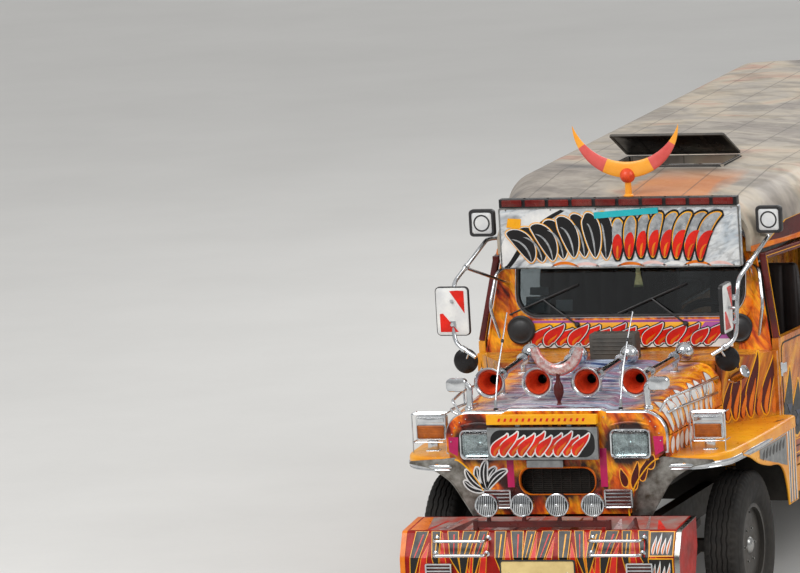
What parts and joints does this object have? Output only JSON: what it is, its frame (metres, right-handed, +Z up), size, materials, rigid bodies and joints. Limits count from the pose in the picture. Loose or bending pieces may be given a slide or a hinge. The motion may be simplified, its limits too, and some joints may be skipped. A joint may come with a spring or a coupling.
{
  "type": "long-nosed passenger jeepney",
  "caption": "Long open-windowed passenger jeepney with a rounded nose, horns on its hood, a destination board, a roof hatch and benches entered from the rear.",
  "frame": {"origin": "on the ground under the middle of the whole vehicle's box", "axes": "+X the vehicle's left, +Y its rear, +Z up; the nose faces -Y"},
  "size_m": [1.76, 7.125, 2.41],
  "materials": {
    "body_paint": "gloss yellow-orange enamel with brown airbrushed flames",
    "side_paint": "gloss orange enamel with maroon and navy bands",
    "fender_paint": "gloss yellow enamel",
    "hood_paint": "silver enamel with airbrushed strokes",
    "roof_paint": "weathered grey and cream enamel",
    "bumper_paint": "gloss red enamel with yellow lining",
    "sign_face": "bare silver and yellow sheet",
    "stainless": "polished stainless sheet",
    "bright_trim": "chromed brass and steel",
    "chassis_black": "black chassis paint under road dirt",
    "engine_iron": "dull cast iron",
    "lamp_lens": "amber lens in a bright frame",
    "head_lens": "clear lens in a bright frame",
    "glass": "clear laminated glass",
    "tyre_rubber": "dusty black rubber",
    "rim_paint": "dark grey wheel enamel",
    "seat_vinyl": "dark red vinyl",
    "floor_plate": "worn checker plate",
    "black_plastic": "moulded black plastic",
    "ornament_paint": "painted casting",
    "plate_paint": "bare pale yellow plate"
  },
  "bodies": {
    "chassis": {"front_bumper": "bumper_paint", "frame_rails": "chassis_black", "cross_members": "chassis_black", "front_axle": "chassis_black", "rear_axle": "chassis_black", "leaf_springs": "chassis_black", "engine": "engine_iron", "driveshaft": "chassis_black", "exhaust": "engine_iron", "fuel_tank": "chassis_black", "radiator": "chassis_black", "rub_rails": "bright_trim", "number_plates": "plate_paint", "grille_shell": "body_paint", "arch_panels": "stainless", "headlamps": "head_lens", "signal_lamps": "lamp_lens", "round_lamps": "bright_trim", "face_signs": "sign_face", "fenders": "fender_paint", "engine_sides": "body_paint", "cowl": "side_paint", "windshield_frame": "body_paint", "windshield_glass": "glass", "visor_sign": "sign_face", "roof": "roof_paint", "body_sides": "side_paint", "window_frames": "side_paint", "rear_wall": "side_paint", "floor": "floor_plate", "benches": "seat_vinyl", "front_seats": "seat_vinyl", "dashboard": "black_plastic", "ceiling_rails": "stainless", "mirror_arms": "bright_trim", "mirrors": "bright_trim", "spot_lamps": "black_plastic", "roof_ornament": "ornament_paint", "rear_step": "stainless"},
    "hood": {"hood": "hood_paint", "trumpets": "bright_trim", "hood_fittings": "bright_trim"},
    "roof_hatch": {"roof_hatch": "roof_paint"},
    "left_door": {"left_door": "side_paint"},
    "right_door": {"right_door": "side_paint"},
    "steering_wheel": {"steering_wheel": "black_plastic"},
    "left_knuckle": {"left_knuckle": "chassis_black"},
    "right_knuckle": {"right_knuckle": "chassis_black"},
    "front_left_wheel": {"front_left_tyre": "tyre_rubber", "front_left_rim": "rim_paint"},
    "front_right_wheel": {"front_right_tyre": "tyre_rubber", "front_right_rim": "rim_paint"},
    "rear_left_wheel": {"rear_left_tyre": "tyre_rubber", "rear_left_rim": "rim_paint"},
    "rear_right_wheel": {"rear_right_tyre": "tyre_rubber", "rear_right_rim": "rim_paint"}
  },
  "joints": [
    {"name": "left_steer", "type": "hinge", "parent": "chassis", "child": "left_knuckle", "pos_m": [0.62, -2.4775, 0.38], "axis": [0, 0, 1], "range_deg": [-28, 28]},
    {"name": "right_steer", "type": "hinge", "parent": "chassis", "child": "right_knuckle", "pos_m": [-0.62, -2.4775, 0.38], "axis": [0, 0, 1], "range_deg": [-28, 28]},
    {"name": "steering_wheel_turn", "type": "hinge", "parent": "chassis", "child": "steering_wheel", "pos_m": [0.4, -1.4775, 1.33], "axis": [0, 0.7731, 0.6343], "range_deg": [-340, 340]},
    {"name": "hood_hinge", "type": "hinge", "parent": "chassis", "child": "hood", "pos_m": [0, -2.1225, 1.28], "axis": [-1, 0, 0], "range_deg": [0, 45]},
    {"name": "hatch_hinge", "type": "hinge", "parent": "chassis", "child": "roof_hatch", "pos_m": [0, -0.5975, 2.11], "axis": [-1, 0, 0], "range_deg": [-25, 30]},
    {"name": "left_door_hinge", "type": "hinge", "parent": "chassis", "child": "left_door", "pos_m": [0.803, -1.7825, 1], "axis": [0, 0, -1], "range_deg": [0, 70]},
    {"name": "right_door_hinge", "type": "hinge", "parent": "chassis", "child": "right_door", "pos_m": [-0.803, -1.7825, 1], "axis": [0, 0, 1], "range_deg": [0, 70]},
    {"name": "front_left_spin", "type": "hinge", "parent": "left_knuckle", "child": "front_left_wheel", "pos_m": [0.74, -2.4775, 0.38], "axis": [1, 0, 0], "continuous": true},
    {"name": "front_right_spin", "type": "hinge", "parent": "right_knuckle", "child": "front_right_wheel", "pos_m": [-0.74, -2.4775, 0.38], "axis": [1, 0, 0], "continuous": true},
    {"name": "rear_left_spin", "type": "hinge", "parent": "chassis", "child": "rear_left_wheel", "pos_m": [0.74, 1.4325, 0.38], "axis": [1, 0, 0], "continuous": true},
    {"name": "rear_right_spin", "type": "hinge", "parent": "chassis", "child": "rear_right_wheel", "pos_m": [-0.74, 1.4325, 0.38], "axis": [1, 0, 0], "continuous": true}
  ],
  "couplings": [
    {"joint": "right_steer", "follows": "left_steer", "ratio": 1},
    {"joint": "steering_wheel_turn", "follows": "left_steer", "ratio": 12}
  ]
}
